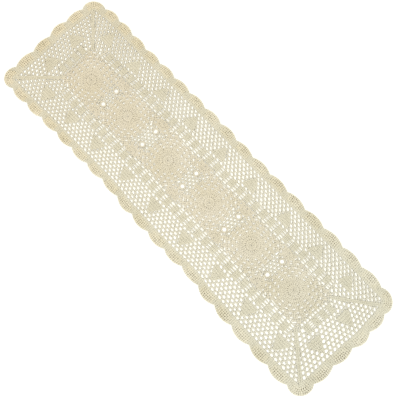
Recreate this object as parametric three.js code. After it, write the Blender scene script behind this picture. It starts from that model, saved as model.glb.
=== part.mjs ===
// A crocheted cotton table runner that lies flat: one sheet of lace with a shell edging.
// Millimetres, +X along the runner, +Y across it, +Z up, underside on Z = 0.

import * as THREE from 'three';

// Overall size, measured over the tips of the shells
const RUNNER_LENGTH = 1200;
const RUNNER_WIDTH = 362;
const CLOTH_THICKNESS = 2.2;

// Shell edging: small shells along the sides and one wide shell round each corner
const LONG_SIDE_SHELLS = 17;
const END_SHELLS = 4;
const SHELL_RISE = 9.5;
const SHELL_STEPS = 10;
const CORNER_SHARE_ALONG = 50;
const CORNER_SHARE_ACROSS = 53;
const CORNER_RISE = 29;
const CORNER_STEPS = 20;

// The shells of the long sides grow a little wider towards +X
const FAR_SHELL_GROWTH = 0.11;
const NEAR_SHELL_GROWTH = 0.05;

// Round gaps left where two medallions are joined, one pair at each of the five joints
const MEDALLION_PITCH = 162.5;
const MEDALLION_COUNT = 6;
const MEDALLION_ROW_SHIFT = -9;
const JOINT_GAP_RADIUS = 6.6;
const JOINT_GAP_OFFSET = 25.8;
const JOINT_GAP_SIDES = 24;

// How unevenly the handmade cloth lies: how far each edge stands out past the straight line.
// "at" is the place along the edge, from -1 to 1.
const LONG_EDGE_DRIFT = [
  { at: -1.0, far: -5.0, near: 1.0 },
  { at: -0.85, far: 4.5, near: 0.5 },
  { at: -0.6, far: 0.0, near: -5.5 },
  { at: -0.25, far: 0.5, near: -9.5 },
  { at: -0.1, far: 0.5, near: -2.5 },
  { at: 0.1, far: -2.5, near: -1.0 },
  { at: 0.3, far: -2.5, near: -5.0 },
  { at: 0.42, far: -3.0, near: 3.0 },
  { at: 0.65, far: -3.0, near: 8.0 },
  { at: 0.85, far: -6.0, near: 8.5 },
  { at: 1.0, far: -9.0, near: 3.5 },
];
const END_EDGE_DRIFT = [
  { at: -1.0, left: -2.5, right: -8.0 },
  { at: -0.5, left: -2.0, right: -3.5 },
  { at: -0.1, left: -1.0, right: 0.0 },
  { at: 0.2, left: 3.5, right: 5.0 },
  { at: 0.55, left: -2.0, right: 2.5 },
  { at: 1.0, left: -7.0, right: -9.0 },
];
// The middle of the lace lies this much towards the far edge
const MIDDLE_SHIFT = 4.4;

const COTTON = new THREE.MeshStandardMaterial({
  color: new THREE.Color(0.73, 0.68, 0.53),
  roughness: 0.95,
  metalness: 0,
});

// Value of one column of a drift table at a place along the edge, eased between its rows
function driftAt(table, column, at) {
  const place = Math.min(Math.max(at, -1), 1);
  let row = 0;
  while (row < table.length - 2 && place > table[row + 1].at) {
    row += 1;
  }
  const before = table[row];
  const after = table[row + 1];
  const share = (place - before.at) / (after.at - before.at);
  const eased = share * share * (3 - 2 * share);
  return before[column] + (after[column] - before[column]) * eased;
}

// Where a point of the regular lace lies in the uneven cloth
function lie(point) {
  const along = point.x / (RUNNER_LENGTH / 2);
  const across = point.y / (RUNNER_WIDTH / 2);
  const far = driftAt(LONG_EDGE_DRIFT, 'far', along);
  const near = driftAt(LONG_EDGE_DRIFT, 'near', along);
  const left = driftAt(END_EDGE_DRIFT, 'left', across);
  const right = driftAt(END_EDGE_DRIFT, 'right', across);
  const shiftX = (right * (1 + along) - left * (1 - along)) / 2;
  const edgeShift = (far * (1 + across) - near * (1 - across)) * Math.abs(across) / 2;
  const middleShift = MIDDLE_SHIFT * (1 - across * across);
  return new THREE.Vector2(point.x + shiftX, point.y + edgeShift + middleShift);
}

// Points of a circular arc from one dip to just before the next, bulging out to the right
// of the way of travel by the given rise
function shellArc(from, to, rise, steps) {
  const chord = to.clone().sub(from);
  const half = chord.length() / 2;
  const radius = (half * half + rise * rise) / (2 * rise);
  const outward = new THREE.Vector2(chord.y, -chord.x).normalize();
  const centre = from.clone().add(to).multiplyScalar(0.5).addScaledVector(outward, rise - radius);
  const start = Math.atan2(from.y - centre.y, from.x - centre.x);
  const sweep = 2 * Math.atan2(half, radius - rise);
  const points = [];
  for (let step = 0; step < steps; step += 1) {
    const angle = start + (sweep * step) / steps;
    points.push(new THREE.Vector2(
      centre.x + radius * Math.cos(angle),
      centre.y + radius * Math.sin(angle),
    ));
  }
  return points;
}

// The shells of one side and the corner shell that follows it, anticlockwise round the runner.
// With growth above 0 each shell of the side is a little wider than the one before.
function sideShells(firstDip, lastDip, nextSideDip, count, growth) {
  const dips = [];
  for (let dip = 0; dip <= count; dip += 1) {
    const share = dip / count;
    dips.push(firstDip.clone().lerp(lastDip, share - growth * share * (1 - share)));
  }
  const points = [];
  for (let shell = 0; shell < count; shell += 1) {
    points.push(...shellArc(dips[shell], dips[shell + 1], SHELL_RISE, SHELL_STEPS));
  }
  points.push(...shellArc(lastDip, nextSideDip, CORNER_RISE, CORNER_STEPS));
  return points;
}

// The whole scalloped outline of the runner as it lies
function runnerOutline() {
  const dipX = RUNNER_LENGTH / 2 - SHELL_RISE;
  const dipY = RUNNER_WIDTH / 2 - SHELL_RISE;
  const lastX = RUNNER_LENGTH / 2 - CORNER_SHARE_ALONG;
  const lastY = RUNNER_WIDTH / 2 - CORNER_SHARE_ACROSS;
  const nearLeft = new THREE.Vector2(-lastX, -dipY);
  const nearRight = new THREE.Vector2(lastX, -dipY);
  const rightNear = new THREE.Vector2(dipX, -lastY);
  const rightFar = new THREE.Vector2(dipX, lastY);
  const farRight = new THREE.Vector2(lastX, dipY);
  const farLeft = new THREE.Vector2(-lastX, dipY);
  const leftFar = new THREE.Vector2(-dipX, lastY);
  const leftNear = new THREE.Vector2(-dipX, -lastY);
  const points = [
    ...sideShells(nearLeft, nearRight, rightNear, LONG_SIDE_SHELLS, NEAR_SHELL_GROWTH),
    ...sideShells(rightNear, rightFar, farRight, END_SHELLS, 0),
    ...sideShells(farRight, farLeft, leftFar, LONG_SIDE_SHELLS, -FAR_SHELL_GROWTH),
    ...sideShells(leftFar, leftNear, nearLeft, END_SHELLS, 0),
  ];
  return points.map(lie);
}

// Centres of the round gaps: a pair at each joint of the row of medallions
function jointGapCentres() {
  const centres = [];
  const joints = MEDALLION_COUNT - 1;
  for (let joint = 0; joint < joints; joint += 1) {
    const x = MEDALLION_ROW_SHIFT + (joint - (joints - 1) / 2) * MEDALLION_PITCH;
    centres.push(lie(new THREE.Vector2(x, JOINT_GAP_OFFSET)));
    centres.push(lie(new THREE.Vector2(x, -JOINT_GAP_OFFSET)));
  }
  return centres;
}

// The edge of one round gap, wound the other way round than the outline
function gapPath(centre) {
  const points = [];
  for (let side = 0; side < JOINT_GAP_SIDES; side += 1) {
    const angle = (-2 * Math.PI * side) / JOINT_GAP_SIDES;
    points.push(new THREE.Vector2(
      centre.x + JOINT_GAP_RADIUS * Math.cos(angle),
      centre.y + JOINT_GAP_RADIUS * Math.sin(angle),
    ));
  }
  return new THREE.Path(points);
}

// The sheet of lace, shifted so that the origin is the middle of its box
function runner() {
  const outline = runnerOutline();
  const box = new THREE.Box2().setFromPoints(outline);
  const middle = box.getCenter(new THREE.Vector2());
  const shape = new THREE.Shape(outline.map((point) => point.sub(middle)));
  shape.holes = jointGapCentres().map((centre) => gapPath(centre.sub(middle)));
  const geometry = new THREE.ExtrudeGeometry(shape, { depth: CLOTH_THICKNESS, bevelEnabled: false });
  const mesh = new THREE.Mesh(geometry, COTTON);
  mesh.name = 'runner';
  return mesh;
}

const tableRunner = new THREE.Group();
tableRunner.add(runner());

export default tableRunner;
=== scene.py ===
"""Looks of a crocheted cotton table runner, worked stitch by stitch over its packed sheet.

Every length of yarn is a tube carried along its own path. The lace is laid out as a regular
pattern in millimetres, +X along the runner and +Y across it, and then laid down as unevenly as
the handmade cloth lies.
"""

import logging
from collections.abc import Callable
from dataclasses import dataclass, field
from enum import Enum

import bpy
import numpy as np
from mathutils import Matrix, Vector


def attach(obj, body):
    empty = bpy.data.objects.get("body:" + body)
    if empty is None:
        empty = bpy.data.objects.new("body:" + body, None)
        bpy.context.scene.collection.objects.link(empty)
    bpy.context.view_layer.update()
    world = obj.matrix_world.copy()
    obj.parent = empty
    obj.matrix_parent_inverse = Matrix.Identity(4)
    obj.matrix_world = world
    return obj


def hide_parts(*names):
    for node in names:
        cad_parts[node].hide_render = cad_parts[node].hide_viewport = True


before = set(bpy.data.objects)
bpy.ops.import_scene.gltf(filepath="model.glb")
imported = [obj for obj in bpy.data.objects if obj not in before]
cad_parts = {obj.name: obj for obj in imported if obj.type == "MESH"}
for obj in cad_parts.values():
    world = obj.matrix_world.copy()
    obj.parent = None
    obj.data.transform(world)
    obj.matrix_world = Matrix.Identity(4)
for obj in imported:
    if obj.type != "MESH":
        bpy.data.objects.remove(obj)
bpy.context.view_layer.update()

Array = np.ndarray
Free = Callable[[Array], Array]
Pair = tuple[float, float]
Triple = tuple[float, float, float]
Sizes = tuple[float, ...]
LOG = logging.getLogger("table_runner")
MM = 0.001
CAD_NODE = "runner"
LEVEL = "level_in_cloth"
# How far the twist of one strand is from that of the next
TWIST_SHIFT = 0.618
# The least length that anything is divided by
TINY = 1e-9


def around(angle: Array) -> Array:
    """Unit vectors (cos(angle), sin(angle)) in the cloth."""
    return np.stack([np.cos(angle), np.sin(angle)], -1)


def clear_of(points: Array, centres: Array, radius: float) -> Array:
    """Which points are further than a radius from every centre."""
    apart = points[..., None, :] - centres
    return (np.linalg.norm(apart, axis=-1) > radius).all(-1)


def raised(points: list[Array], levels: Triple | float | Array) -> Array:
    """Paths (n, rings, 3) through each ring's points (n, 2), at the rings' levels."""
    flat = np.stack(points, 1)
    return np.concatenate([flat, np.broadcast_to(levels, flat.shape[:2])[..., None]], -1)


class Side(Enum):
    """The four sides of the runner: the axis that each goes along, and which way is out."""

    FAR = (0, 1)
    LEFT = (1, -1)
    NEAR = (0, -1)
    RIGHT = (1, 1)

    def place(self, along: Array, out: Array) -> Array:
        """Points from their place along this side and their distance out from the middle.

        Args:
            along: place along the side, in the direction of +X or +Y.
            out: distance from the middle of the runner, square to the side.

        Returns:
            The points (..., 2) in the regular pattern.
        """
        axis, sign = self.value
        along, out = np.broadcast_arrays(along, sign * out)
        return np.stack([out, along] if axis else [along, out], -1)

    def seen(self, points: Array) -> tuple[Array, Array]:
        """Place along this side and distance out of points: the reverse of place."""
        axis, sign = self.value
        return points[..., axis], sign * points[..., 1 - axis]


@dataclass(frozen=True)
class Drift:
    """How far two opposite edges stand out past their straight lines, by place from -1 to 1."""

    at: Sizes
    first: Sizes
    second: Sizes

    def eased(self, values: Sizes, place: Array) -> Array:
        """Values between the rows, with a smooth step (3 s^2 - 2 s^3) from row to row.

        Args:
            values: one column of the table.
            place: places along the edge.

        Returns:
            The eased value at each place.
        """
        at, column = np.array(self.at), np.array(values)
        place = np.clip(place, -1.0, 1.0)
        row = np.clip(np.searchsorted(at, place, side="left") - 1, 0, len(at) - 2)
        share = (place - at[row]) / (at[row + 1] - at[row])
        return column[row] + (column[row + 1] - column[row]) * share * share * (3 - 2 * share)


@dataclass(frozen=True)
class LyingCloth:
    """How the regular pattern lies as handmade cloth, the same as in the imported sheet."""

    half_length: float = 600.0
    half_width: float = 181.0
    middle_shift: float = 4.4
    origin: Pair = (0.7457, -2.1623)
    ripple: float = 0.28
    ripple_lengths: Sizes = (31.0, 47.0, 23.0, 71.0)
    ripple_start: float = 1.3
    long_edges: Drift = Drift(
        at=(-1.0, -0.85, -0.6, -0.25, -0.1, 0.1, 0.3, 0.42, 0.65, 0.85, 1.0),
        first=(-5.0, 4.5, 0.0, 0.5, 0.5, -2.5, -2.5, -3.0, -3.0, -6.0, -9.0),
        second=(1.0, 0.5, -5.5, -9.5, -2.5, -1.0, -5.0, 3.0, 8.0, 8.5, 3.5),
    )
    ends: Drift = Drift(
        at=(-1.0, -0.5, -0.1, 0.2, 0.55, 1.0),
        first=(-2.5, -2.0, -1.0, 3.5, -2.0, -7.0),
        second=(-8.0, -3.5, 0.0, 5.0, 2.5, -9.0),
    )

    def lay(self, path: Array) -> Array:
        """Lays points of the pattern down as the cloth lies.

        The edges' drift fades in linearly along the runner and with the square across it, and
        the middle is moved towards the far edge. A low ripple lifts the cloth a little: the sum
        of sin(x / a + y / b) and sin(y / c - x / d + start).

        Args:
            path: points (..., 3) of the regular pattern.

        Returns:
            The points as they lie.
        """
        x, y = path[..., 0], path[..., 1]
        along, across = x / self.half_length, y / self.half_width
        far = self.long_edges.eased(self.long_edges.first, along)
        near = self.long_edges.eased(self.long_edges.second, along)
        left = self.ends.eased(self.ends.first, across)
        right = self.ends.eased(self.ends.second, across)
        shift_x = (right * (1 + along) - left * (1 - along)) / 2
        shift_y = (far * (1 + across) - near * (1 - across)) * np.abs(across) / 2
        laid = path.copy()
        laid[..., 0] += shift_x - self.origin[0]
        laid[..., 1] += shift_y + self.middle_shift * (1 - across**2) - self.origin[1]
        a, b, c, d = self.ripple_lengths
        waves = np.sin(x / a + y / b) + np.sin(y / c - x / d + self.ripple_start)
        laid[..., 2] += self.ripple * (2 + waves) / 2
        return laid


@dataclass
class Strands:
    """Lengths of yarn with the same number of rings, each a tube along its own path.

    path is (strands, rings, 3); across and up are the half width in the cloth and the half
    height out of it at each ring. A flat strand has a flat side up, any other an edge.
    """

    path: Array
    across: Array
    up: Array
    sides: int = 4
    flat: bool = False

    def swept(self, cloth: LyingCloth) -> tuple[Array, Array, Array, Array, Array]:
        """Carries an oval along each path once the path has been laid down.

        A point of the oval is the path's point plus across * cos(angle) square to the path in
        the cloth plus up * sin(angle) out of the cloth. For a flat strand the angles are half
        a step on, and the oval is made larger so that its sides keep the given halves.

        Args:
            cloth: how the pattern lies.

        Returns:
            Vertices (n, 3), their level in the cloth's thickness, corners of all faces in a
            row, corners per face, and the place (along, turn) of each corner in the yarn's
            own map.
        """
        path = cloth.lay(self.path)
        count, rings, sides = path.shape[0], path.shape[1], self.sides
        step = np.gradient(path, axis=1)
        run = np.maximum(np.hypot(step[..., 0], step[..., 1]), TINY)
        square = np.stack([-step[..., 1] / run, step[..., 0] / run, 0 * run], -1)
        half_step = np.pi / sides
        angle = 2 * half_step * np.arange(sides) + (half_step if self.flat else 0.0)
        grown = 1 / np.cos(half_step) if self.flat else 1.0
        wide = grown * self.across[..., None] * np.cos(angle)
        rise = grown * self.up[..., None] * np.sin(angle)
        oval = square[:, :, None, :] * wide[..., None]
        oval[..., 2] += rise
        points = (path[:, :, None, :] + oval).reshape(-1, 3)
        level = (self.path[..., 2, None] + rise).reshape(-1)

        index = np.arange(count * rings * sides).reshape(count, rings, sides)
        after = np.roll(index, -1, axis=2)
        walls = [index[:, :-1], after[:, :-1], after[:, 1:], index[:, 1:]]
        walls = np.stack(walls, -1).reshape(-1)
        caps = np.concatenate([index[:, 0, ::-1].reshape(-1), index[:, -1].reshape(-1)])
        corners = np.concatenate([walls, caps])
        sizes = np.repeat([4, sides], [len(walls) // 4, 2 * count])

        length = np.linalg.norm(np.diff(path, axis=1), axis=-1)
        along = np.concatenate([np.zeros((count, 1)), np.cumsum(length, 1)], 1)
        along = along + (np.arange(count) * TWIST_SHIFT)[:, None]
        wall_turn = np.arange(sides)[:, None] + np.array([0, 1, 1, 0])
        wall_turn = np.tile(wall_turn.reshape(-1), count * (rings - 1))
        turn = np.concatenate([wall_turn, caps % sides]) / sides
        places = np.stack([np.repeat(along.reshape(-1), sides)[corners], turn], -1)
        return points, level, corners, sizes, places


@dataclass
class Hand:
    """The maker's hand: the sizes of the stitches and how uneven they come out.

    A stitch has a post, a head, a wrap and a back, and three numbers in a row are for the start,
    the middle and the end of one of them. Levels are heights in the cloth.
    """

    stitch_width: float = 4.5
    row_height: float = 5.7
    uneven: float = 0.2
    size_uneven: float = 0.05
    seed: int = 41
    closed_shares: Triple = (0.51, 0.51, 0.51)
    open_shares: Triple = (0.08, 0.44, 0.52)
    pit_uneven: float = 0.4
    widest_pit: float = 1.5
    end_wander: float = 0.4
    post_middle: float = 0.55
    post_limits: Pair = (0.5, 4.2)
    post_levels: Triple = (0.8, 1.15, 1.0)
    post_heights: Triple = (0.6, 0.8, 0.7)
    head_levels: Triple = (1.55, 1.35, 1.05)
    head_width: float = 0.95
    head_height: float = 0.75
    head_taper: Triple = (0.6, 1.0, 0.7)
    head_slant: float = 0.5
    head_overlap: float = 0.16
    wrap_levels: Triple = (1.0, 1.65, 1.0)
    wrap_widths: Triple = (0.45, 0.7, 0.45)
    wrap_flatness: float = 0.8
    wrap_share: float = 0.36
    wrap_reach: float = 1.7
    wrap_slant: float = 0.12
    back_level: float = 0.2
    back_lift: float = 0.32
    back_share: float = 0.4
    back_reach: float = 0.52
    back_height: float = 0.25
    chain_level: float = 0.95
    chain_height: float = 0.8
    chain_flatness: float = 0.85
    chain_waist: float = 0.85
    chain_wander: float = 0.15
    chain_uneven: float = 0.06
    full_from: float = -185.0
    full_span: float = 400.0
    full_slant: float = 0.8
    full_gain: float = 0.58
    right_from: float = 180.0
    right_span: float = 180.0
    right_gain: float = 0.08
    random: np.random.Generator = field(init=False)

    def __post_init__(self) -> None:
        """Starts the hand's own random numbers from its seed."""
        self.random = np.random.default_rng(self.seed)

    def fullness(self, points: Array) -> Array:
        """How much thicker the chains come out at points of the pattern.

        The work gets tighter and fuller towards the far left, and a little towards the right
        end. Both gains go up in a straight line, (from - x + slant * y) / span on the left and
        (x - from) / span on the right, each held between 0 and 1.

        Args:
            points: points (..., 2) of the pattern.

        Returns:
            The factor on the chains' width, 1 or more.
        """
        share = self.full_from - points[..., 0] + self.full_slant * points[..., 1]
        right = np.clip((points[..., 0] - self.right_from) / self.right_span, 0, 1)
        return 1 + self.full_gain * np.clip(share / self.full_span, 0, 1) + self.right_gain * right

    def row(
        self,
        base: Array,
        top: Array,
        openness: float | Array,
        keep: Array | None = None,
        backed: bool = True,
    ) -> list[Strands]:
        """Rows of double crochet: for each stitch a post, its wrap, a slanting head and a back.

        Stitch i stands between points i and i + 1 of the base line and of the top line. The
        post is narrow at its foot and wide at its top, so that a pit is left between two feet;
        the back lies low behind that pit, where the painted shade of low yarn makes it dark brown.

        Args:
            base: lines (rows, stitches + 1, 2) that the rows stand on.
            top: lines of the same shape that their tops make.
            openness: how wide the pits are, from 0 to 1.
            keep: which stitches (rows, stitches) are worked, or None for all.
            backed: whether the pits are closed behind.

        Returns:
            The yarn of the rows.
        """
        shape = base[:, :-1].shape[:2]
        keep = np.ones(shape, bool) if keep is None else keep
        openness = np.broadcast_to(openness, shape)[keep][:, None]
        low_start, low_end = base[:, :-1][keep], base[:, 1:][keep]
        start, end = top[:, :-1][keep], top[:, 1:][keep]
        count = len(start)
        if not count:
            return []
        openness = openness * self.random.normal(1, self.pit_uneven, (count, 1))
        openness = np.clip(openness, 0, self.widest_pit)
        foot, tip = (low_start + low_end) / 2, (start + end) / 2
        foot_width = np.linalg.norm(low_end - low_start, axis=-1, keepdims=True)
        tip_width = np.linalg.norm(end - start, axis=-1, keepdims=True)
        rise = tip - foot
        height = np.maximum(np.linalg.norm(rise, axis=-1, keepdims=True), TINY)
        rise = rise / height
        off = self.random.normal(0, self.uneven, (count, 3, 2))
        size = 1 + self.random.normal(0, self.size_uneven, (count, 1))

        share = np.array(self.closed_shares) * (1 - openness)
        share = share + np.array(self.open_shares) * openness
        wide = share * np.concatenate([foot_width, (foot_width + tip_width) / 2, tip_width], -1)
        middle = foot + self.post_middle * height * rise + off[:, 1]
        head = tip + self.end_wander * off[:, 2]
        post = raised([foot + self.end_wander * off[:, 0], middle, head], self.post_levels)
        high = np.broadcast_to(self.post_heights, wide.shape)
        made = [Strands(post, np.clip(wide * size, *self.post_limits), high * size, flat=True)]

        overlap = self.head_overlap * (end - start)
        slant = self.head_slant * rise
        path = raised([start - overlap - slant, head, end + overlap + slant], self.head_levels)
        taper = np.array(self.head_taper)
        made.append(Strands(path, size * self.head_width * taper, size * self.head_height * taper))

        reach = np.minimum(self.wrap_share * tip_width, self.wrap_reach) * (end - start) / tip_width
        middle = foot + 0.5 * height * rise + off[:, 1]
        slant = self.wrap_slant * height * rise
        path = raised([middle - reach - slant, middle, middle + reach + slant], self.wrap_levels)
        wide = size * np.array(self.wrap_widths)
        made.append(Strands(path, wide, self.wrap_flatness * wide))
        # The back lies low, so the painted shade makes it dark brown behind the pit
        if backed:
            lifted = foot + self.back_lift * height * rise
            half = self.back_reach * (low_end - low_start)
            path = raised([lifted - half, lifted + half], self.back_level)
            wide = np.broadcast_to(self.back_share * height, (count, 2))
            made.append(Strands(path, wide, np.full((count, 2), self.back_height)))
        return made

    def chain(self, start: Array, end: Array, width: float | Array, lumps: int = 4) -> Strands:
        """Short lengths of chain stitch, straight from point to point.

        Args:
            start: first points (chains, 2).
            end: last points (chains, 2).
            width: half width of the chain at its widest, one value or one for each.
            lumps: rings less one; every other ring is thin.

        Returns:
            The chains.
        """
        count = len(start)
        share = np.linspace(0, 1, lumps + 1)[None, :, None]
        path = np.zeros((count, lumps + 1, 3))
        path[..., :2] = start[:, None] * (1 - share) + end[:, None] * share
        path[:, 1:-1, :2] += self.random.normal(0, self.chain_wander, (count, lumps - 1, 2))
        full = self.fullness((start + end) / 2)[:, None]
        path[..., 2] = self.chain_level / full
        thick = np.where(np.arange(lumps + 1) % 2 == 0, 1.0, self.chain_waist)
        width = np.broadcast_to(width, count)[:, None]
        wide = width * thick * (1 + self.random.normal(0, self.chain_uneven, (count, 1)))
        high = np.minimum(self.chain_flatness * wide, self.chain_height / full)
        return Strands(path, wide * full, high)

    def along(self, line: Array, width: float) -> Strands:
        """Chains from each point of a line to the next."""
        return self.chain(line[:-1], line[1:], width)


@dataclass
class Rib:
    """A solid rib from a corner of the middle strip to a corner of the border."""

    start: Pair
    end: Pair
    half_width: float = 4.4
    stitches: int = 2
    openness: float = 0.1

    def line(self) -> tuple[Array, Array, float]:
        """The rib's middle line.

        Returns:
            Its start, its direction and its length.
        """
        run = np.array(self.end) - np.array(self.start)
        length = float(np.linalg.norm(run))
        return np.array(self.start), run / length, length

    def off(self, points: Array) -> Array:
        """Signed distance of points from the rib's line.

        Args:
            points: points (..., 2) of the pattern.

        Returns:
            The distances, positive on the line's left.
        """
        start, way, _ = self.line()
        apart = points - start
        return way[0] * apart[..., 1] - way[1] * apart[..., 0]

    def strands(self, hand: Hand) -> list[Strands]:
        """Rows of a few stitches, one after the other up the rib.

        Args:
            hand: the maker's hand.

        Returns:
            The rib's yarn.
        """
        start, way, length = self.line()
        square = np.array([-way[1], way[0]])
        up = np.linspace(0, length, round(length / hand.row_height) + 1)
        across = np.linspace(-self.half_width, self.half_width, self.stitches + 1)
        grid = start + up[:, None, None] * way + across[None, :, None] * square
        return hand.row(grid[:-1], grid[1:], self.openness, backed=False)


@dataclass
class Peak:
    """A solid peak of the border: rows of double crochet that get narrower outwards."""

    side: Side
    along: float
    base: float
    row_height: float = 7.2
    halves: Sizes = (21.0, 20.5, 17.0, 12.5, 8.0, 4.0)
    openness: float = 0.25

    def inside(self, points: Array, margin: float) -> Array:
        """Which points lie in the peak's outline, made wider by a margin.

        Args:
            points: points (..., 2) of the pattern.
            margin: how much wider, or narrower below 0.

        Returns:
            True for each such point.
        """
        along, out = self.side.seen(points)
        up = (out - self.base) / self.row_height
        rows = len(self.halves) - 1
        half = np.interp(up, np.arange(rows + 1), self.halves) + margin
        edge = margin / self.row_height
        return (np.abs(along - self.along) < half) & (up > -edge) & (up < rows + edge)

    def strands(self, hand: Hand) -> list[Strands]:
        """Rows between the half widths of the table.

        Args:
            hand: the maker's hand.

        Returns:
            The peak's yarn.
        """
        made = []
        for row, (low, high) in enumerate(zip(self.halves[:-1], self.halves[1:])):
            count = max(2, round((low + high) / hand.stitch_width))
            share = np.linspace(-1, 1, count + 1)
            out = self.base + self.row_height * row
            base = self.side.place(self.along + low * share, out)
            top = self.side.place(self.along + high * share, out + self.row_height)
            made += hand.row(base[None], top[None], self.openness, backed=False)
        return made


@dataclass
class Layout:
    """Where the parts of the pattern are, in millimetres from its middle.

    medallion_shifts has a row (x, y) for each medallion, from its regular place. rosettes has a
    row for each joint: the far rosette's x and y and the near one's, from the joint.
    """

    medallion_pitch: float = 162.5
    medallion_count: int = 6
    row_shift: float = -9.0
    medallion_radius: float = 61.6
    strip_far: float = 61.0
    strip_near: float = 64.5
    strip_right: float = 463.0
    strip_left: float = 474.5
    gap_offset: float = 25.8
    gap_radius: float = 6.6
    joint_half: float = 33.8
    medallion_shifts: tuple[Pair, ...] = (
        (6.0, -2.0),
        (-6.0, 0.0),
        (1.0, -5.0),
        (1.0, -4.0),
        (-3.0, -3.0),
        (-8.0, -5.0),
    )
    rosettes: tuple[Sizes, ...] = (
        (1.5, 57.7, -3.5, -60.3),
        (-1.5, 58.2, -6.0, -63.5),
        (2.5, 57.7, -3.0, -63.5),
        (1.0, 57.7, -3.0, -61.8),
        (-2.5, 56.7, -2.0, -59.5),
    )

    def medallion_places(self) -> Array:
        """Regular places of the medallions along the middle."""
        place = np.arange(self.medallion_count) - (self.medallion_count - 1) / 2
        return np.stack([self.row_shift + self.medallion_pitch * place, 0 * place], -1)

    def medallion_centres(self) -> Array:
        """Centres of the medallions, each a little off its regular place."""
        return self.medallion_places() + np.array(self.medallion_shifts)

    def joint_centres(self) -> Array:
        """Points where two medallions are joined."""
        places = self.medallion_places()
        return (places[:-1] + places[1:]) / 2

    def gap_centres(self) -> Array:
        """Centres of the round gaps above and below each joint."""
        offset = np.array([[0, self.gap_offset], [0, -self.gap_offset]])
        return (self.joint_centres()[:, None] + offset).reshape(-1, 2)

    def rosette_centres(self) -> Array:
        """Centres of the rosettes, from each joint's row of the table: far, then near."""
        table = np.array(self.rosettes).reshape(-1, 2, 2)
        return (self.joint_centres()[:, None] + table).reshape(-1, 2)

    def in_strip(self, points: Array, margin: float) -> Array:
        """Which points lie in the middle strip.

        Args:
            points: points (..., 2) of the pattern.
            margin: how much narrower the strip is made, or wider below 0.

        Returns:
            True for each such point.
        """
        x, y = points[..., 0], points[..., 1]
        inside = (x < self.strip_right - margin) & (x > -self.strip_left + margin)
        return inside & (y < self.strip_far - margin) & (y > -self.strip_near + margin)

    def in_joint(self, points: Array, margin: float) -> Array:
        """Which points lie between two medallions and between the gaps of their joint.

        Args:
            points: points (..., 2) of the pattern.
            margin: how much smaller the field is made, or larger below 0.

        Returns:
            True for each such point.
        """
        between = clear_of(points, self.medallion_centres(), self.medallion_radius + margin)
        first, last = self.joint_centres()[[0, -1], 0]
        x, y = points[..., 0], points[..., 1]
        reach = self.medallion_pitch / 4
        inner = (x > first - reach) & (x < last + reach)
        return between & inner & (np.abs(y) < self.joint_half - margin)


@dataclass(frozen=True)
class Round:
    """One round: where it ends, its stitches, and its fans with the gaps between them.

    Attributes:
        outer: radius of its top.
        width: width of a stitch at its top.
        openness: how wide the pits between stitches are, from 0 to 1.
        fans: number of fans.
        gap: width of the gap between two fans.
        backed: whether the pits are closed behind.
    """

    outer: float
    width: float
    openness: float
    fans: int = 1
    gap: float = 0.0
    backed: bool = True


@dataclass(frozen=True)
class RoundWork:
    """Rounds of double crochet about a centre, from an inner radius outwards."""

    inner: float
    rounds: tuple[Round, ...]
    turn: float = 0.0
    bridge: float = 0.8
    overlap: float = 0.4

    def strands(self, hand: Hand, centre: Array, free: Free) -> list[Strands]:
        """Works the rounds: each is cut into fans by gaps of a given width.

        A point of a round is centre + radius * (cos(angle), sin(angle)).

        Args:
            hand: the maker's hand.
            centre: centre of the rounds.
            free: tells which points are worked.

        Returns:
            The rounds' yarn.
        """
        made = []
        low = self.inner
        for one in self.rounds:
            middle, high = (low + one.outer) / 2, one.outer
            sector, opening = 2 * np.pi / one.fans, one.gap / middle
            count = max(1, round((sector - opening) * high / one.width))
            first = self.turn + sector * np.arange(one.fans)[:, None]
            angle = first + opening / 2 + (sector - opening) * np.linspace(0, 1, count + 1)
            way = around(angle)
            kept = free(centre + middle * around((angle[:, :-1] + angle[:, 1:]) / 2))
            base, top = centre + low * way, centre + high * way
            made += hand.row(base, top, one.openness, kept, one.backed)
            if one.gap:
                made += self.bridges(hand, centre, one, around(first[:, 0]), middle, free)
            low = high
        return made

    def bridges(
        self, hand: Hand, centre: Array, one: Round, way: Array, middle: float, free: Free
    ) -> list[Strands]:
        """The chains over the gaps of a round.

        Args:
            hand: the maker's hand.
            centre: centre of the rounds.
            one: the round.
            way: directions (n, 2) of the gaps.
            middle: radius of the round's middle.
            free: tells which points are worked.

        Returns:
            The yarn over the gaps.
        """
        way = way[free(centre + middle * way)]
        aside = np.stack([-way[:, 1], way[:, 0]], -1) * (one.gap / 2 + self.overlap)
        top = centre + (one.outer - self.overlap) * way
        return [hand.chain(top - aside, top + aside, self.bridge)] if len(top) else []


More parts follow.
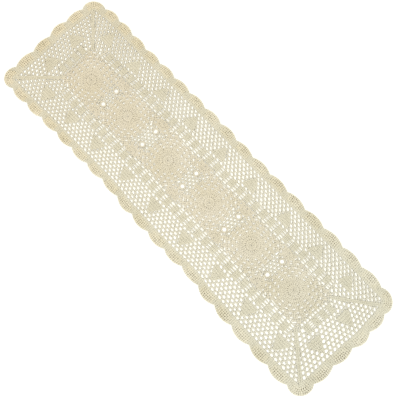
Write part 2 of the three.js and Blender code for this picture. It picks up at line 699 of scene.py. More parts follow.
@dataclass
class Medallions:
    """Some of the round medallions, with the arcs that fill the strip round them."""

    layout: Layout
    first: int
    count: int
    strip_margin: float = 2.0
    gap_clear: float = 10.0
    rosette_clear: float = 26.5
    rounds: RoundWork = RoundWork(
        inner=1.4,
        turn=0.06,
        rounds=(
            Round(7.6, 3.7, 1.3),
            Round(14.2, 4.3, 0.1),
            Round(19.2, 6.4, 0.8),
            Round(23.0, 4.3, 0.1),
            Round(27.2, 5.8, 0.55),
            Round(31.6, 4.3, 0.1),
            Round(36.0, 5.4, 0.5),
            Round(42.2, 4.4, 0.1, fans=12, gap=7.2),
            Round(46.0, 5.2, 0.4),
            Round(52.2, 4.4, 0.1, fans=16, gap=7.4),
            Round(55.8, 5.2, 0.4),
            Round(61.8, 4.4, 0.2, fans=20, gap=7.4),
        ),
    )
    filler: RoundWork = RoundWork(
        inner=61.6,
        rounds=(
            Round(67.0, 6.4, 0.9, backed=False),
            Round(73.4, 4.4, 0.1, fans=23, gap=8.5),
            Round(78.8, 6.4, 0.9, backed=False),
            Round(85.2, 4.4, 0.1, fans=27, gap=8.5),
            Round(90.6, 6.4, 0.9, backed=False),
            Round(97.0, 4.4, 0.1, fans=31, gap=8.5),
            Round(105.0, 6.4, 0.9, backed=False),
        ),
    )

    def strands(self, hand: Hand) -> list[Strands]:
        """All rounds of these medallions.

        Args:
            hand: the maker's hand.

        Returns:
            The medallions' yarn.
        """
        made = []
        layout = self.layout
        gaps, rosettes = layout.gap_centres(), layout.rosette_centres()
        places, centres = layout.medallion_places(), layout.medallion_centres()
        for number in range(self.first, self.first + self.count):

            def own(points: Array, middle: float = places[number, 0]) -> Array:
                """Which points belong to this medallion's part of the strip.

                Args:
                    points: points (..., 2) of the pattern.
                    middle: the medallion's regular place along the runner.

                Returns:
                    True for each such point.
                """
                near = np.abs(points[..., 0] - middle) < layout.medallion_pitch / 2
                near &= layout.in_strip(points, self.strip_margin)
                return near & clear_of(points, gaps, self.gap_clear)

            def round_about(points: Array, mine: Free = own) -> Array:
                """Which points the outer arcs of this medallion fill."""
                inside = mine(points) & ~layout.in_joint(points, 0.0)
                return inside & clear_of(points, rosettes, self.rosette_clear)

            made += self.rounds.strands(hand, centres[number], own)
            made += self.filler.strands(hand, centres[number], round_about)
        return made


@dataclass
class Rosettes:
    """The small rosettes beside the joints, cut off where they meet the bands."""

    layout: Layout
    strip_margin: float = -2.5
    gap_clear: float = 10.0
    core: float = 16.0
    medallion_clear: float = 63.5
    rounds: RoundWork = RoundWork(
        inner=1.4,
        rounds=(
            Round(6.6, 3.4, 1.3),
            Round(11.2, 4.2, 0.1),
            Round(15.2, 5.8, 1.2),
            Round(19.8, 4.4, 0.1),
            Round(26.0, 4.4, 0.2, fans=10, gap=6.8),
        ),
    )

    def strands(self, hand: Hand) -> list[Strands]:
        """The rounds of every rosette, clear of the medallions and of the gaps.

        Args:
            hand: the maker's hand.

        Returns:
            The rosettes' yarn.
        """
        made = []
        layout = self.layout
        gaps, medallions = layout.gap_centres(), layout.medallion_centres()
        for centre in layout.rosette_centres():

            def own(points: Array, middle: Array = centre) -> Array:
                """Which points are this rosette's.

                Args:
                    points: points (..., 2) of the pattern.
                    middle: the rosette's centre.

                Returns:
                    True for each such point.
                """
                inside = layout.in_strip(points, self.strip_margin)
                inside &= clear_of(points, gaps, self.gap_clear)
                near = np.linalg.norm(points - middle, axis=-1) < self.core
                return inside & (near | clear_of(points, medallions, self.medallion_clear))

            made += self.rounds.strands(hand, centre, own)
        return made


@dataclass
class GapRings:
    """A ring of short stitches round each round gap."""

    layout: Layout
    clear: float = 0.3
    depth: float = 3.4
    stitches: int = 14
    openness: float = 0.3

    def strands(self, hand: Hand) -> list[Strands]:
        """A round of short stitches about every gap.

        Args:
            hand: the maker's hand.

        Returns:
            The rings' yarn.
        """
        way = around(np.linspace(0, 2 * np.pi, self.stitches + 1))
        centres = self.layout.gap_centres()[:, None]
        inner = self.layout.gap_radius + self.clear
        outer = centres + (inner + self.depth) * way
        return hand.row(outer, centres + inner * way, self.openness)


@dataclass
class NetPanel:
    """One field of chain mesh: staggered spaces between short posts and pulled chains.

    Attributes:
        side: the side it is worked towards.
        levels: distances of its rows from the middle.
        pitch: width of a space.
        phase: shift of its spaces along the side.
        reach: how far it goes each way along the side.
        yarn: half width of its chains.
        lean: how far a post leans over.
        skew: how much thicker every other chain is, as a share.
        pull: how far a row of chain is pulled in and out.
        post: half widths of a post.
        wander: how unevenly the knots lie along the side, as a share of the pitch.
        out_wander: how unevenly they lie outwards, as a share of the same.
        post_wander: how far the middle of a post wanders.
    """

    side: Side
    levels: Array
    pitch: float
    phase: float
    reach: float
    yarn: float
    lean: float
    skew: float
    pull: float
    post: Triple
    wander: float = 0.045
    out_wander: float = 0.4
    post_wander: float = 0.25

    def strands(self, hand: Hand, free: Free) -> list[Strands]:
        """Rows of chain between half spaces, and a post at every other half space.

        The chain of a row is pulled out where a post of the next row stands on it, and in
        where it hangs on a post of the row before.

        Args:
            hand: the maker's hand.
            free: tells which points of the panel are worked.

        Returns:
            The panel's yarn.
        """
        half = self.pitch / 2
        number = np.arange(-round(self.reach / half), round(self.reach / half) + 1)
        along = self.phase + number * half
        spread = self.wander * self.pitch
        wander = [hand.random.normal(0, spread, len(along)) for _ in self.levels]
        made = []
        for level, out in enumerate(self.levels):
            foot = (number + level) % 2 == 0
            pulled = np.where(foot, self.pull, -self.pull)
            aside = along + wander[level] - pulled / self.pull * self.lean
            knots = self.side.place(aside, out + pulled + self.out_wander * wander[level])
            kept = free((knots[:-1] + knots[1:]) / 2)
            if kept.any():
                thick = 1 + self.skew * np.where(pulled[:-1] > 0, 1, -1)
                wide = (self.yarn * thick)[kept]
                made.append(hand.chain(knots[:-1][kept], knots[1:][kept], wide))
            if level + 1 == len(self.levels):
                continue
            low = self.side.place((along + wander[level] - self.lean)[foot], out + self.pull)
            high = self.levels[level + 1] - self.pull
            high = self.side.place((along + wander[level + 1] + self.lean)[foot], high)
            kept = free((low + high) / 2)
            low, high = low[kept], high[kept]
            if not len(low):
                continue
            middle = (low + high) / 2
            full = hand.fullness(middle)[:, None]
            middle = middle + hand.random.normal(0, self.post_wander, low.shape)
            path = raised([low, middle, high], hand.chain_level / full)
            wide = np.array(self.post) * full
            made.append(Strands(path, wide, hand.chain_height / full * np.ones(wide.shape)))
        return made


@dataclass
class JointNet:
    """The small field of fine mesh between the two gaps of each joint."""

    layout: Layout
    pitch: float = 12.0
    row: float = 8.1
    rows: int = 7
    reach: float = 36.0
    yarn: float = 2.1
    pull: float = 0.8
    post: Triple = (2.9, 2.2, 2.9)
    rosette_clear: float = 25.0
    gap_clear: float = 9.0
    joint_margin: float = -1.5

    def strands(self, hand: Hand) -> list[Strands]:
        """The same mesh as the border's, turned across the runner, in every joint.

        Args:
            hand: the maker's hand.

        Returns:
            The joints' yarn.
        """
        made = []
        layout = self.layout
        rosettes, gaps = layout.rosette_centres(), layout.gap_centres()
        levels = (np.arange(self.rows + 1) - self.rows / 2) * self.row
        sizes = (self.pitch, 0.0, self.reach, self.yarn, 0.0, 0.0, self.pull, self.post)

        def free(points: Array) -> Array:
            """Which points are between the medallions and clear of the gaps.

            Args:
                points: points (..., 2) of the pattern.

            Returns:
                True for each such point.
            """
            inside = layout.in_joint(points, self.joint_margin)
            inside &= clear_of(points, rosettes, self.rosette_clear)
            return inside & clear_of(points, gaps, self.gap_clear)

        for centre in layout.joint_centres():
            made += NetPanel(Side.RIGHT, centre[0] + levels, *sizes).strands(hand, free)
        return made


@dataclass(kw_only=True)
class Band:
    """Solid blocks of double crochet along one side, with open blocks between them."""

    side: Side
    level: float
    block_width: float
    rows: int
    row_height: float
    openness: float = 0.25
    lap: float = 0.6

    def block_centres(self) -> Array:
        """Places of the solid blocks along the side."""
        raise NotImplementedError

    def solid(self, hand: Hand) -> list[Strands]:
        """The rows of double crochet in every solid block.

        Args:
            hand: the maker's hand.

        Returns:
            The blocks' yarn.
        """
        made = []
        half = self.block_width / 2
        count = round(self.block_width / hand.stitch_width)
        along = self.block_centres()[:, None] + np.linspace(-half, half, count + 1)
        for row in range(self.rows):
            low = self.level + row * self.row_height
            base = self.side.place(along, low)
            top = self.side.place(along, low + self.row_height)
            made += hand.row(base, top, self.openness, backed=False)
        return made


@dataclass(kw_only=True)
class LongBand(Band):
    """The band along one long side, with a row of long spaces inside it."""

    middle: float
    pitch: float
    layout: Layout
    block_width: float = 17.6
    rows: int = 3
    row_height: float = 7.4
    blocks: int = 30
    inner_row: float = 7.2
    bar: float = 2.0
    bar_tilt: float = 0.35
    closing_lumps: int = 6
    edge: float = 1.3
    inner_edge: float = 1.2
    post: float = 2.2
    clear: float = 12.0

    def block_centres(self) -> Array:
        """Places of the solid blocks along the side."""
        return self.middle + self.pitch * (np.arange(self.blocks) - (self.blocks - 1) / 2)

    def ends(self) -> Pair:
        """Where the band's last open blocks end."""
        half = self.pitch * (self.blocks + 1) / 2 - self.block_width / 2
        return self.middle - half, self.middle + half

    def open(self, hand: Hand) -> list[Strands]:
        """The bars of chain across the open blocks and the row of inner spaces.

        Args:
            hand: the maker's hand.

        Returns:
            The open blocks' yarn.
        """
        made = []
        place = self.side.place
        half = self.block_width / 2
        left = self.middle + self.pitch * (np.arange(self.blocks + 1) - (self.blocks + 1) / 2)
        for row in range(1, self.rows):
            tilt = hand.random.normal(0, self.bar_tilt, (2, len(left)))
            out = self.level + row * self.row_height
            start = place(left + half - self.lap, out + tilt[0])
            end = place(left + self.pitch - half + self.lap, out + tilt[1])
            made.append(hand.chain(start, end, self.bar))
        first, last = self.ends()
        steps = np.linspace(first, last, 4 * (self.blocks + 1) - 1)
        top = self.level + self.rows * self.row_height
        for out in (self.level, top):
            made.append(hand.along(place(steps, out), self.edge))
        closing = np.array([first, last])
        low, high = place(closing, self.level), place(closing, top)
        made.append(hand.chain(low, high, self.bar, self.closing_lumps))
        rosettes, _ = self.side.seen(self.layout.rosette_centres())
        posts = steps[::2]
        apart = np.abs(posts[:, None] - rosettes).min(1)
        posts = np.sort(np.concatenate([posts, (posts + self.pitch / 4)[apart < self.clear]]))
        inner = self.level - self.inner_row
        made.append(hand.chain(place(posts, inner), place(posts, self.level), self.post, 2))
        made.append(hand.along(place(steps, inner), self.inner_edge))
        return made


@dataclass(kw_only=True)
class EndBand(Band):
    """The band across one end, between two rows of spaces."""

    inner: float
    centres: Sizes
    block_width: float = 16.5
    rows: int = 4
    row_height: float = 5.7
    bar: float = 1.0
    edge: float = 1.5
    post: float = 1.7
    post_pitch: float = 9.0

    def block_centres(self) -> Array:
        """Places of the solid blocks along the side."""
        return np.array(self.centres)

    def open(self, hand: Hand) -> list[Strands]:
        """The bars of chain across the open blocks, the band's edges and the inner posts.

        Args:
            hand: the maker's hand.

        Returns:
            The open blocks' yarn.
        """
        made = []
        place = self.side.place
        half = self.block_width / 2
        centres = np.sort(self.block_centres())
        for row in range(self.rows + 1):
            out = self.level + row * self.row_height
            start = place(centres[:-1] + half - self.lap, out)
            end = place(centres[1:] - half + self.lap, out)
            made.append(hand.chain(start, end, self.bar))
        past = half + self.post_pitch
        steps = np.arange(centres[0] - past, centres[-1] + past + 1, self.post_pitch)
        low, high = place(steps, self.inner), place(steps, self.level)
        made.append(hand.chain(low, high, self.post, 2))
        return made + [hand.along(line, self.edge) for line in (low, high)]


@dataclass
class Border:
    """The solid strip outside the mesh and the shell edging worked on it.

    openness has a value for each row, from the mesh outwards.
    """

    dip_x: float = 590.5
    dip_y: float = 171.5
    last_x: float = 550.0
    last_y: float = 128.0
    inner_right: float = 571.7
    inner_left: float = 569.4
    inner_far: float = 151.3
    inner_near: float = 154.8
    long_shells: int = 17
    end_shells: int = 4
    shell_rise: float = 9.5
    corner_rise: float = 29.0
    corner_from: float = 5.0
    near_growth: float = 0.05
    far_growth: float = -0.11
    stitch_width: float = 5.7
    openness: Sizes = (0.0, 0.4, 1.05, 1.15, 0.9)
    crown_from: float = 0.55
    fine_steps: int = 40

    def arc(self, start: Array, end: Array, rise: float, share: Array) -> Array:
        """Points of the circular arc from one dip to the next that bulges out by a rise.

        The radius is (half chord^2 + rise^2) / (2 rise); the points are at equal angles.

        Args:
            start: first dip.
            end: next dip, going anticlockwise round the runner.
            rise: how far the arc stands out from its chord.
            share: shares of the arc's angle.

        Returns:
            The points (n, 2).
        """
        chord = end - start
        half = float(np.linalg.norm(chord)) / 2
        radius = (half**2 + rise**2) / (2 * rise)
        outward = np.array([chord[1], -chord[0]]) / (2 * half)
        centre = (start + end) / 2 + outward * (rise - radius)
        first = np.arctan2(start[1] - centre[1], start[0] - centre[0])
        sweep = 2 * np.arctan2(half, radius - rise)
        return centre + radius * around(first + sweep * share)

    def shells(self) -> list[tuple[Array, Array, float, Array]]:
        """Every shell: its two dips, its rise, and the points of the inner line it stands on.

        Each side's first and last dip are in a ring, anticlockwise from the near side.

        Returns:
            One (start, end, rise, inner line (3, 2)) for each shell, anticlockwise.
        """
        half_ring = [
            (self.last_x, self.dip_y),
            (-self.last_x, self.dip_y),
            (-self.dip_x, self.last_y),
            (-self.dip_x, -self.last_y),
        ]
        ring = np.concatenate([-np.array(half_ring), half_ring])
        counts = (self.long_shells, self.end_shells, self.long_shells, self.end_shells)
        growths = (self.near_growth, 0.0, self.far_growth, 0.0)
        made = []
        for side, (count, growth) in enumerate(zip(counts, growths)):
            first, last, following = ring[[2 * side, 2 * side + 1, (2 * side + 2) % len(ring)]]
            share = np.linspace(0, 1, count + 1)
            share = share - growth * share * (1 - share)
            dips = first + (last - first) * share[:, None]
            for start, end in zip(dips[:-1], dips[1:]):
                made.append((start, end, self.shell_rise, self.inner_line(start, end)))
            made.append((last, following, self.corner_rise, self.inner_line(last, following)))
        return made

    def inner_point(self, point: Array) -> Array:
        """The nearest point of the mesh's outer edge."""
        low = np.array([-self.inner_left, -self.inner_near])
        return np.clip(point, low, np.array([self.inner_right, self.inner_far]))

    def inner_line(self, start: Array, end: Array) -> Array:
        """The line that a shell stands on, bent at a corner.

        Args:
            start: first dip of the shell.
            end: its next dip.

        Returns:
            Start, middle and end (3, 2) of the line.
        """
        first, last = self.inner_point(start), self.inner_point(end)
        corner = np.abs(first - last).min() > self.corner_from
        outer = np.where(np.abs(start) > np.abs(end), first, last)
        return np.stack([first, outer if corner else (first + last) / 2, last])

    def strands(self, hand: Hand, half: int, crowns: bool) -> list[Strands]:
        """Rows that go over evenly from the straight inner line to the arcs of the shells.

        Args:
            hand: the maker's hand.
            half: 0 for the shells of the near side and the right end, 1 for all others.
            crowns: whether to make the crowns of the shells or all the rest.

        Returns:
            The border's yarn.
        """
        made = []
        shells = self.shells()
        middle = len(shells) // 2
        rows = len(self.openness)
        fine = np.linspace(0, 1, self.fine_steps + 1)
        for start, end, rise, inner in shells[half * middle : (half + 1) * middle]:
            for row, openness in enumerate(self.openness):
                low, high = row / rows, (row + 1) / rows
                line = self.mixed(inner, self.arc(start, end, rise, fine), high, fine)
                length = np.linalg.norm(np.diff(line, axis=0), axis=1).sum()
                share = np.linspace(0, 1, max(3, round(length / self.stitch_width)) + 1)
                outer = self.arc(start, end, rise, share)
                base = self.mixed(inner, outer, low, share)
                top = self.mixed(inner, outer, high, share)
                bulge = np.sin(np.pi * (share[:-1] + share[1:]) / 2)[None]
                keep = (bulge > self.crown_from) & (row > 0)
                keep = keep if crowns else ~keep
                made += hand.row(base[None], top[None], openness * bulge, keep, row > 0)
        return made

    def mixed(self, inner: Array, outer: Array, depth: float, share: Array) -> Array:
        """Points between the inner line and the outer arc.

        Args:
            inner: points of the inner line.
            outer: points of the outer arc, one for each share.
            depth: 0 on the inner line, 1 on the outer arc.
            share: shares of the inner line's length.

        Returns:
            The points (n, 2).
        """
        lengths = np.linalg.norm(np.diff(inner, axis=0), axis=1)
        at = np.concatenate([[0.0], np.cumsum(lengths)]) / lengths.sum()
        line = np.stack([np.interp(share, at, inner[:, axis]) for axis in (0, 1)], -1)
        return line * (1 - depth) + outer * depth


@dataclass
class Nodes:
    """A material's nodes, added and joined by short names."""

    tree: bpy.types.NodeTree

    def add(self, kind: str, sockets: dict | None = None, **settings: str) -> bpy.types.Node:
        """Adds a node.

        Args:
            kind: its type, without the words that every type starts with.
            sockets: values of its input sockets by name.
            settings: its own settings by name.

        Returns:
            The node.
        """
        made = self.tree.nodes.new("ShaderNode" + kind)
        for name, value in settings.items():
            setattr(made, name, value)
        self.fill(made, sockets or {})
        return made

    def fill(self, node: bpy.types.Node, sockets: dict) -> None:
        """Sets input sockets of a node by name or number; a colour gets its full alpha."""
        for name, value in sockets.items():
            node.inputs[name].default_value = value if np.isscalar(value) else (*value, 1.0)

    def join(self, *wires: tuple) -> None:
        """Joins nodes: each wire is a node, its output, another node and its input."""
        for source, output, target, socket in wires:
            self.tree.links.new(source.outputs[output], target.inputs[socket])


@dataclass(frozen=True)
class CottonYarn:
    """Matt ecru cotton thread of three plies with a slight twist and a little fuzz."""

    name: str
    pale: Triple
    warm: Triple
    # Painted shade: the dark brown that the yarn is given low in the stitches, in place of their
    # shade
    painted_shade: Triple
    left_tint: Triple = (1.0, 0.97, 0.95)
    middle_tint: Triple = (0.99, 0.985, 0.995)
    right_tint: Triple = (0.917, 0.944, 0.973)
    # Levels in the cloth at which the painted shade is full and at which it is gone
    painted_shade_levels: Pair = (0.35, 0.9)
    half_length: float = 0.6
    roughness: float = 0.88
    sheen: float = 0.25
    sheen_roughness: float = 0.5
    specular: float = 0.25
    broad_patches: float = 14.0
    fine_patches: float = 420.0
    patch_range: Pair = (0.75, 1.25)
    plies: float = 3.0
    twist_length: float = 1.9
    relief: float = 0.00012
    relief_strength: float = 0.8

    def material(self) -> bpy.types.Material:
        """Nodes: patchy ecru by object coordinates, painted brown shade low in the stitches, ply
        ridges.

        Returns:
            The material.
        """
        made = bpy.data.materials.new(self.name)
        made.use_nodes = True
        nodes = Nodes(made.node_tree)
        shader = made.node_tree.nodes["Principled BSDF"]
        nodes.fill(
            shader,
            {
                "Roughness": self.roughness,
                "Sheen Weight": self.sheen,
                "Sheen Roughness": self.sheen_roughness,
                "Specular IOR Level": self.specular,
            },
        )
        place = nodes.add("TexCoord")
        broad = nodes.add("TexNoise", {"Scale": self.broad_patches, "Detail": 3.0})
        fine = nodes.add("TexNoise", {"Scale": self.fine_patches, "Detail": 2.0})
        both = nodes.add("Math", operation="ADD")
        low, high = self.patch_range
        tone = nodes.add("MapRange", {"From Min": low, "From Max": high})
        colour = nodes.add("Mix", {"A": self.warm, "B": self.pale}, data_type="RGBA")
        # Painted shade: yarn low in the cloth, in the pits and on the backs, is mixed towards the
        # dark brown tone
        level = nodes.add("Attribute", attribute_name=LEVEL)
        low, high = self.painted_shade_levels
        limits = {"From Min": low, "From Max": high}
        depth = nodes.add("MapRange", limits, interpolation_type="SMOOTHSTEP")
        with_painted_shade = nodes.add("Mix", {"A": self.painted_shade}, data_type="RGBA")
        tinted = nodes.add("Mix", {"Factor": 1.0}, data_type="RGBA", blend_type="MULTIPLY")
        nodes.join(
            (place, "Object", broad, "Vector"),
            (place, "Object", fine, "Vector"),
            (broad, "Fac", both, 0),
            (fine, "Fac", both, 1),
            (both, 0, tone, "Value"),
            (tone, "Result", colour, "Factor"),
            (level, "Fac", depth, "Value"),
            (depth, "Result", with_painted_shade, "Factor"),
            (colour, "Result", with_painted_shade, "B"),
            (with_painted_shade, "Result", tinted, "A"),
            (self.tint(nodes, place), "Color", tinted, "B"),
            (tinted, "Result", shader, "Base Color"),
            (self.ridges(nodes, place), "Normal", shader, "Normal"),
        )
        return made

    def ridges(self, nodes: Nodes, place: bpy.types.Node) -> bpy.types.Node:
        """Adds the ridges of the plies: sin(2 pi (along / twist length + plies * turn)).

        Args:
            nodes: the material's nodes.
            place: the texture coordinates.

        Returns:
            The node whose Normal has the ridges.
        """
        split = nodes.add("SeparateXYZ")
        along = nodes.add("Math", {1: 2 * np.pi / self.twist_length}, operation="MULTIPLY")
        turn = nodes.add("Math", {1: 2 * np.pi * self.plies}, operation="MULTIPLY_ADD")
        ridge = nodes.add("Math", operation="SINE")
        bump = nodes.add("Bump", {"Strength": self.relief_strength, "Distance": self.relief})
        nodes.join(
            (place, "UV", split, "Vector"),
            (split, "X", along, 0),
            (split, "Y", turn, 0),
            (along, 0, turn, 2),
            (turn, 0, ridge, 0),
            (ridge, 0, bump, "Height"),
        )
        return bump

    def tint(self, nodes: Nodes, place: bpy.types.Node) -> bpy.types.Node:
        """Adds the thread's slow change of tint from the left end to the right one.

        Args:
            nodes: the material's nodes.
            place: the texture coordinates.

        Returns:
            The node whose Color is the tint.
        """
        ends = nodes.add("SeparateXYZ")
        limits = {"From Min": -self.half_length, "From Max": self.half_length}
        share = nodes.add("MapRange", limits)
        tints = nodes.add("ValToRGB")
        ramp = tints.color_ramp
        ramp.interpolation = "EASE"
        ramp.elements[0].color = (*self.left_tint, 1.0)
        ramp.elements[1].color = (*self.right_tint, 1.0)
        ramp.elements.new(0.5).color = (*self.middle_tint, 1.0)
        nodes.join(
            (place, "Object", ends, "Vector"),
            (ends, "X", share, "Value"),
            (share, "Result", tints, "Fac"),
        )
        return tints


@dataclass
class YarnPiece:
    """A piece of the runner as one mesh of yarn."""

    name: str
    strands: list[Strands]

    def build(self, cloth: LyingCloth, finish: bpy.types.Material) -> bpy.types.Object:
        """Sweeps the strands into one mesh in metres and gives it its finish and its map.

        Args:
            cloth: how the pattern lies.
            finish: the yarn's material.

        Returns:
            The piece, riding on the runner's body and standing for its sheet.
        """
        swept = [strand.swept(cloth) for strand in self.strands if len(strand.path)]
        points, levels, corners, sizes, places = (np.concatenate(x) for x in zip(*swept))
        offset = np.cumsum([0] + [len(x[0]) for x in swept[:-1]])
        corners += np.repeat(offset, [len(x[2]) for x in swept])
        points *= MM

        mesh = bpy.data.meshes.new(self.name)
        mesh.vertices.add(len(points))
        mesh.vertices.foreach_set("co", points.astype(np.float32).ravel())
        mesh.loops.add(len(corners))
        mesh.loops.foreach_set("vertex_index", corners.astype(np.int32))
        mesh.polygons.add(len(sizes))
        starts = np.concatenate([[0], np.cumsum(sizes[:-1])])
        mesh.polygons.foreach_set("loop_start", starts.astype(np.int32))
        mesh.polygons.foreach_set("use_smooth", np.ones(len(sizes), bool))
        mesh.update(calc_edges=True)
        layer = mesh.uv_layers.new(name="yarn_map")
        layer.data.foreach_set("uv", places.astype(np.float32).ravel())
        # Each vertex's level in the cloth, from which the yarn's painted shade is mixed
        depth = mesh.attributes.new(LEVEL, "FLOAT", "POINT")
        depth.data.foreach_set("value", levels.astype(np.float32))
        mesh.materials.append(finish)
        piece = bpy.data.objects.new(self.name, mesh)
        bpy.context.scene.collection.objects.link(piece)
        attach(piece, "root")
        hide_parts(CAD_NODE)
        LOG.info("%s: %d triangles", self.name, int((sizes - 2).sum()))
        return piece


@dataclass
class Runner:
    """The whole runner: the net that spans it and the solid work on the net.

    A level is the distance of a band's outer edge from the middle; peaks and blocks are given by
    their places along their side. A long band has its middle and its pitch. A net has its first
    and last row, then the pitch, phase, reach, yarn, lean and skew of its panel. The ribs go
    anticlockwise from the far right one.
    """

    layout: Layout = field(default_factory=Layout)
    cloth: LyingCloth = field(default_factory=LyingCloth)
    far_peaks: Sizes = (-470, -356, -242, -124, -3.5, 115.5, 243, 361, 470)
    near_peaks: Sizes = (-467, -366, -261, -138.5, -22.5, 100.5, 226, 345, 464)
    right_peaks: Sizes = (42.0, -57.0)
    left_peaks: Sizes = (45.0, -51.0)
    right_halves: Sizes = (20.0, 19.0, 15.5, 11.5, 8.0, 4.0)
    left_halves: Sizes = (23.5, 22.5, 18.0, 13.0, 8.0, 4.0)
    right_peak_row: float = 7.6
    left_peak_row: float = 6.9
    right_peak_shift: float = 4.0
    long_row: float = 8.82
    end_row: float = 10.8
    far_level: float = 90.6
    near_level: float = 94.1
    right_level: float = 496.1
    left_level: float = 504.6
    long_band_depth: float = 22.2
    end_band_depth: float = 22.8
    far_band: Pair = (2.5, 29.43)
    near_band: Pair = (9.5, 29.7)
    right_blocks: Sizes = (31.0, 6.5, -18.5, -46.0)
    left_blocks: Sizes = (37.0, 11.0, -13.0, -37.0)
    left_span: Pair = (-48.0, 48.0)
    right_span: Pair = (-57.0, 40.0)
    far_net: Sizes = (-3, 7, 14.0, 1.5, 580.0, 1.88, -1.8, 0.3)
    left_net: Sizes = (-3, 6, 12.5, -1.0, 150.0, 1.95, 0.8, -0.15)
    near_net: Sizes = (-3, 7, 14.0, 10.0, 580.0, 2.05, 0.5, -0.1)
    right_net: Sizes = (-3, 7, 12.5, -8.5, 150.0, 1.9, -1.0, 0.2)
    rib_lines: tuple[tuple[Pair, Pair], ...] = (
        ((463.0, 51.5), (571.7, 137.5)),
        ((-474.0, 59.0), (-569.4, 144.0)),
        ((-468.0, -51.5), (-569.4, -149.5)),
        ((463.0, -67.0), (571.7, -150.5)),
    )
    pull: float = 1.0
    post: Triple = (2.6, 1.9, 2.6)
    net_half: Pair = (573.0, 160.0)
    rib_clear: float = 3.5
    band_clear: float = 1.5
    peak_margin: float = -2.0
    net_area: float = 0.200
    flat: Pair = (1.208, 0.375)

    def peaks(self) -> list[Peak]:
        """The solid peaks of all four sides.

        Returns:
            The peaks, in the order in which they are worked.
        """
        right = self.right_level + self.end_row + self.right_peak_shift
        left = self.left_level + self.end_row
        table = (
            (Side.FAR, self.far_peaks, (self.far_level + self.long_row,)),
            (Side.NEAR, self.near_peaks, (self.near_level + self.long_row,)),
            (Side.RIGHT, self.right_peaks, (right, self.right_peak_row, self.right_halves)),
            (Side.LEFT, self.left_peaks, (left, self.left_peak_row, self.left_halves)),
        )
        return [Peak(side, place, *sizes) for side, places, sizes in table for place in places]

    def bands(self) -> list[LongBand | EndBand]:
        """The bands of all four sides.

        Returns:
            The far, near, right and left band.
        """
        layout = self.layout
        long = (
            (Side.FAR, self.far_level, *self.far_band),
            (Side.NEAR, self.near_level, *self.near_band),
        )
        end = (
            (Side.RIGHT, self.right_level, layout.strip_right, self.right_blocks),
            (Side.LEFT, self.left_level, layout.strip_left, self.left_blocks),
        )
        made = []
        for side, level, middle, pitch in long:
            level -= self.long_band_depth
            made.append(LongBand(side=side, level=level, middle=middle, pitch=pitch, layout=layout))
        for side, level, inner, centres in end:
            level -= self.end_band_depth
            made.append(EndBand(side=side, level=level, inner=inner, centres=centres))
        return made

    def net(self, hand: Hand) -> list[Strands]:
        """The chain mesh of the four sides, clear of ribs, peaks and bands.

        Args:
            hand: the maker's hand.

        Returns:
            The net's yarn.
        """
        made = []
        ribs = [Rib(*line) for line in self.rib_lines]
        far, near, *_ = self.bands()
        long, end = self.long_row, self.end_row
        panels = (
            (Side.FAR, far.ends(), self.far_level, long, *self.far_net),
            (Side.LEFT, self.left_span, self.left_level, end, *self.left_net),
            (Side.NEAR, near.ends(), self.near_level, long, *self.near_net),
            (Side.RIGHT, self.right_span, self.right_level, end, *self.right_net),
        )
        for number, (side, span, level, row, lowest, highest, *sizes) in enumerate(panels):
            levels = level + row * np.arange(lowest, highest + 1)
            first, second = ribs[number], ribs[(number + 1) % 4]
            own = [peak for peak in self.peaks() if peak.side is side]

            def free(points: Array) -> Array:
                """Which points are in this side's mesh.

                Args:
                    points: points (..., 2) of the pattern.

                Returns:
                    True for each such point.
                """
                keep = (first.off(points) > self.rib_clear) & (second.off(points) < -self.rib_clear)
                keep &= (np.abs(points) < self.net_half).all(-1)
                for peak in own:
                    keep &= ~peak.inside(points, self.peak_margin)
                along, out = side.seen(points)
                beside = (along < span[0]) | (along > span[1])
                return keep & (beside | (out > level - self.band_clear))

            panel = NetPanel(side, levels, *sizes, self.pull, self.post)
            made += panel.strands(hand, free)
        return made

    def build(
        self, shells: CottonYarn, rounds: CottonYarn, bands: CottonYarn, chains: CottonYarn
    ) -> None:
        """Builds all the pieces.

        Args:
            shells: finish of the shell edging.
            rounds: finish of the medallions and rosettes.
            bands: finish of the blocks, peaks, ribs and the strip.
            chains: finish of the chains.
        """
        layout = self.layout
        hand = Hand()
        net = self.net(hand) + JointNet(layout).strands(hand)
        border = Border()
        strip = border.strands(hand, 0, False) + border.strands(hand, 1, False)
        solid = []
        for band in self.bands():
            net += band.open(hand)
            solid += band.solid(hand)
        for part in [*self.peaks(), *(Rib(*line) for line in self.rib_lines)]:
            solid += part.strands(hand)
        shell, disc, block, chain = (x.material() for x in (shells, rounds, bands, chains))
        rosettes = Rosettes(layout).strands(hand) + GapRings(layout).strands(hand)
        parts = (
            ("rosettes", rosettes, disc),
            ("medallions_left", Medallions(layout, 0, 2).strands(hand), disc),
            ("medallions_middle", Medallions(layout, 2, 2).strands(hand), disc),
            ("medallions_right", Medallions(layout, 4, 2).strands(hand), disc),
            ("shell_edging_near", border.strands(hand, 0, True), shell),
            ("shell_edging_far", border.strands(hand, 1, True), shell),
            ("blocks_peaks_and_ribs", solid, block),
            ("strip_under_shells", strip, block),
        )
        pieces = [YarnPiece(name, yarn).build(self.cloth, look) for name, yarn, look in parts]
        main = YarnPiece("chain_mesh", net).build(self.cloth, chain)


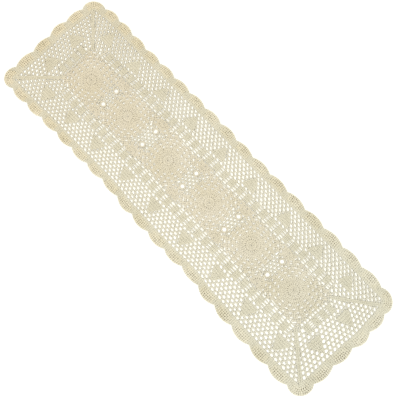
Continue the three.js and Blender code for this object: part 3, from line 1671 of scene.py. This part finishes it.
@dataclass
class Studio:
    """A pale floor under even, soft light."""

    floor_size: float = 6.0
    floor_level: float = -0.0003
    floor_tone: Triple = (0.87, 0.86, 0.775)
    floor_roughness: float = 0.9
    floor_specular: float = 0.1
    sky: float = 1.15
    key_power: float = 21.0
    key_size: float = 1.6
    key_place: Triple = (0.7, -0.5, 2.3)

    def build(self) -> None:
        """Makes the floor, the sky and one large soft lamp high above the near right."""
        half = self.floor_size / 2
        corners = [(-half, -half), (half, -half), (half, half), (-half, half)]
        mesh = bpy.data.meshes.new("floor")
        mesh.from_pydata([(x, y, self.floor_level) for x, y in corners], [], [(0, 1, 2, 3)])
        floor = bpy.data.objects.new("floor", mesh)
        bpy.context.scene.collection.objects.link(floor)
        paint = bpy.data.materials.new("pale_floor")
        paint.use_nodes = True
        shader = paint.node_tree.nodes["Principled BSDF"]
        shader.inputs["Base Color"].default_value = (*self.floor_tone, 1.0)
        shader.inputs["Roughness"].default_value = self.floor_roughness
        shader.inputs["Specular IOR Level"].default_value = self.floor_specular
        mesh.materials.append(paint)

        world = bpy.data.worlds.new("soft_sky")
        world.use_nodes = True
        background = world.node_tree.nodes["Background"]
        background.inputs["Color"].default_value = (1.0, 1.0, 1.0, 1.0)
        background.inputs["Strength"].default_value = self.sky
        bpy.context.scene.world = world

        lamp = bpy.data.lights.new("key", "AREA")
        lamp.shape = "DISK"
        lamp.size = self.key_size
        lamp.energy = self.key_power
        key = bpy.data.objects.new("key", lamp)
        key.location = self.key_place
        key.rotation_euler = (-Vector(self.key_place)).to_track_quat("-Z", "Y").to_euler()
        bpy.context.scene.collection.objects.link(key)


@dataclass
class PhotoCamera:
    """The camera that the photograph was taken from, found from the runner's outline."""

    place: Triple = (0.17603, -0.09672, 1.06671)
    forward: Triple = (-0.11657, 0.07981, -0.98997)
    up: Triple = (-0.71398, 0.68615, 0.13939)
    lens: float = 36.0
    sensor: float = 36.0
    clip_end: float = 50.0

    def build(self) -> None:
        """Makes the camera and the scene's plain colour handling."""
        data = bpy.data.cameras.new("photo_camera")
        data.lens = self.lens
        data.sensor_width = self.sensor
        data.clip_end = self.clip_end
        camera = bpy.data.objects.new("photo_camera", data)
        forward = Vector(self.forward).normalized()
        right = forward.cross(Vector(self.up)).normalized()
        up = right.cross(forward)
        turn = Matrix((right, up, -forward)).transposed().to_4x4()
        camera.matrix_world = Matrix.Translation(self.place) @ turn
        scene = bpy.context.scene
        scene.collection.objects.link(camera)
        scene.camera = camera
        # The denoiser would wipe out stitches that are a pixel or two wide
        scene.cycles.use_denoising = False
        scene.view_settings.view_transform = "Standard"
        scene.view_settings.look = "None"
        scene.view_settings.exposure = 0.0


def main() -> None:
    """Builds the camera, the studio and the runner."""
    logging.basicConfig(level=logging.INFO, format="%(message)s")
    PhotoCamera().build()
    Studio().build()
    # Each yarn's dark brown tone is painted shade, given to it low in the stitches
    Runner().build(
        shells=CottonYarn(
            "ecru_cotton_shells",
            pale=(0.705, 0.665, 0.515),
            warm=(0.61, 0.56, 0.39),
            painted_shade=(0.33, 0.26, 0.14),
            left_tint=(1.02, 0.96, 0.88),
            middle_tint=(0.985, 0.97, 0.95),
            right_tint=(0.93, 0.945, 0.965),
        ),
        rounds=CottonYarn(
            "ecru_cotton_rounds",
            pale=(0.665, 0.615, 0.475),
            warm=(0.61, 0.55, 0.385),
            painted_shade=(0.36, 0.28, 0.15),
        ),
        bands=CottonYarn(
            "ecru_cotton_bands",
            pale=(0.64, 0.605, 0.46),
            warm=(0.57, 0.53, 0.38),
            painted_shade=(0.38, 0.32, 0.19),
            right_tint=(0.945, 0.965, 1.0),
        ),
        chains=CottonYarn(
            "ecru_cotton_chains",
            pale=(0.655, 0.62, 0.485),
            warm=(0.60, 0.555, 0.405),
            painted_shade=(0.59, 0.545, 0.40),
            right_tint=(0.945, 0.965, 1.0),
        ),
    )
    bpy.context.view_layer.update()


if __name__ == "__main__":
    main()
